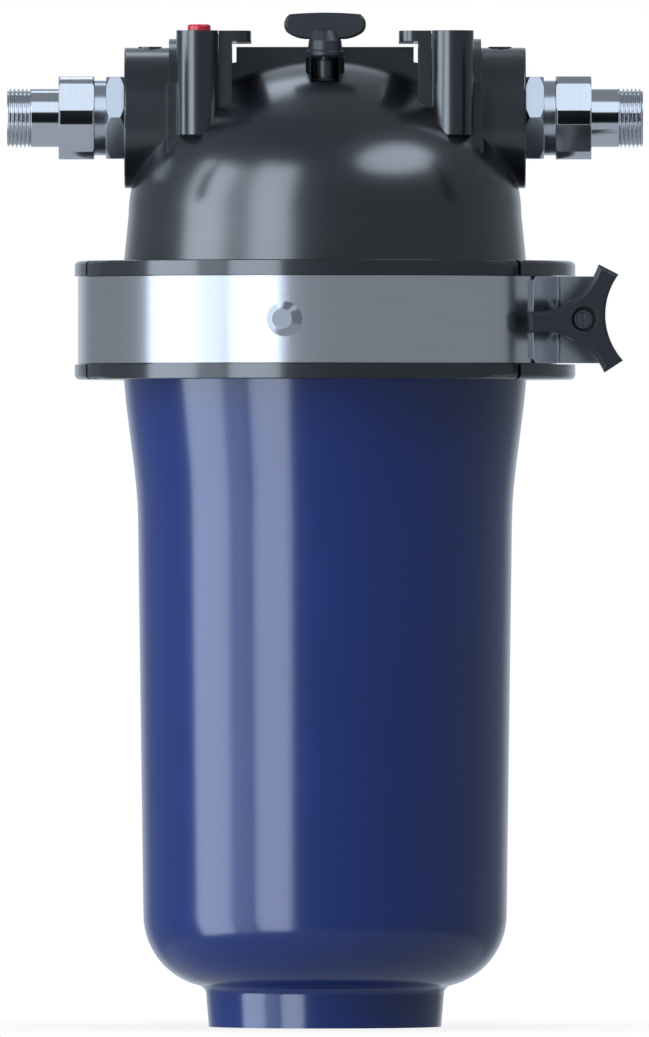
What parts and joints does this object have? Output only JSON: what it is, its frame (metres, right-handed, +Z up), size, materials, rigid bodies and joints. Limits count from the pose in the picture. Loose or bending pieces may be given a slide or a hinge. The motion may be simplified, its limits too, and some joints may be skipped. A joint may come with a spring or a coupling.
{
  "type": "sea water strainer",
  "caption": "Blue bowl clamped under a black domed head, with a polished band clamp, star knob, vent screw and threaded pipe unions on both sides.",
  "frame": {"origin": "centre of the foot's flat face", "axes": "+Z up along the bowl's axis, +X towards the outlet union, +Y towards the wall"},
  "size_m": [0.3582, 0.3052, 0.5707],
  "materials": {
    "bowl_blue": "glossy blue moulding",
    "head_black": "satin black moulding",
    "liner_black": "satin",
    "knob_black": "fine satin",
    "vent_black": "satin",
    "plug_black": "satin",
    "red": "glossy red",
    "rubber": "smooth",
    "brass": "turned",
    "basket_steel": "brushed",
    "fitting_steel": "polished",
    "clamp_steel": "polished"
  },
  "bodies": {
    "housing": {"basket": "basket_steel", "basket_handle": "basket_steel", "basket_seal": "rubber", "bolt_pin": "clamp_steel", "bowl": "bowl_blue", "bowl_seal": "rubber", "clamp_band": "clamp_steel", "clamp_bolt": "clamp_steel", "clamp_washer": "clamp_steel", "front_bracket": "clamp_steel", "gauge_plug_left": "plug_black", "gauge_plug_right": "plug_black", "head": "head_black", "indicator_spring": "clamp_steel", "liner_front": "liner_black", "liner_left": "liner_black", "liner_rear": "liner_black", "liner_right": "liner_black", "liner_stud_front": "clamp_steel", "liner_stud_rear": "clamp_steel", "rear_bracket": "clamp_steel", "tailpiece_left": "fitting_steel", "tailpiece_right": "fitting_steel", "union_body_left": "fitting_steel", "union_body_right": "fitting_steel", "union_gasket_left": "rubber", "union_gasket_right": "rubber", "vent_seal": "rubber", "wall_bracket": "head_black"},
    "insert": {"knob_insert": "brass"},
    "knob": {"clamp_knob": "knob_black"},
    "stem": {"vent_stem": "vent_black"},
    "vent": {"vent_knob": "vent_black"},
    "indicator": {"indicator_button": "red", "indicator_seal": "rubber"},
    "nut_left": {"union_nut_left": "fitting_steel"},
    "nut_right": {"union_nut_right": "fitting_steel"}
  },
  "joints": [
    {"name": "knob_travel", "type": "slide", "parent": "housing", "child": "insert", "axis": [0.1219, -0.9925, 0], "range_m": [0, 0.00751]},
    {"name": "knob_turn", "type": "hinge", "parent": "insert", "child": "knob", "pos_m": [0.14062, -0.05257, 0.3979], "axis": [0.1219, -0.9925, 0], "range_deg": [0, 2160]},
    {"name": "vent_travel", "type": "slide", "parent": "housing", "child": "stem", "axis": [0, 0, 1], "range_m": [0, 0.00226]},
    {"name": "vent_turn", "type": "hinge", "parent": "stem", "child": "vent", "pos_m": [0, -0.039, 0.5456], "axis": [0, 0, 1], "range_deg": [0, 540]},
    {"name": "indicator_press", "type": "slide", "parent": "housing", "child": "indicator", "axis": [0, 0, -1], "range_m": [0, 0.0025], "stiffness_N_per_m": 400, "deforming": ["indicator_spring"]},
    {"name": "nut_left_turn", "type": "hinge", "parent": "housing", "child": "nut_left", "pos_m": [-0.1299, 0, 0.512], "axis": [-1, 0, 0], "continuous": true},
    {"name": "nut_right_turn", "type": "hinge", "parent": "housing", "child": "nut_right", "pos_m": [0.1299, 0, 0.512], "axis": [1, 0, 0], "continuous": true}
  ],
  "couplings": [
    {"joint": "knob_travel", "follows": "knob_turn", "m_per_rad": 0.00019894},
    {"joint": "vent_travel", "follows": "vent_turn", "m_per_rad": 0.00023873}
  ]
}
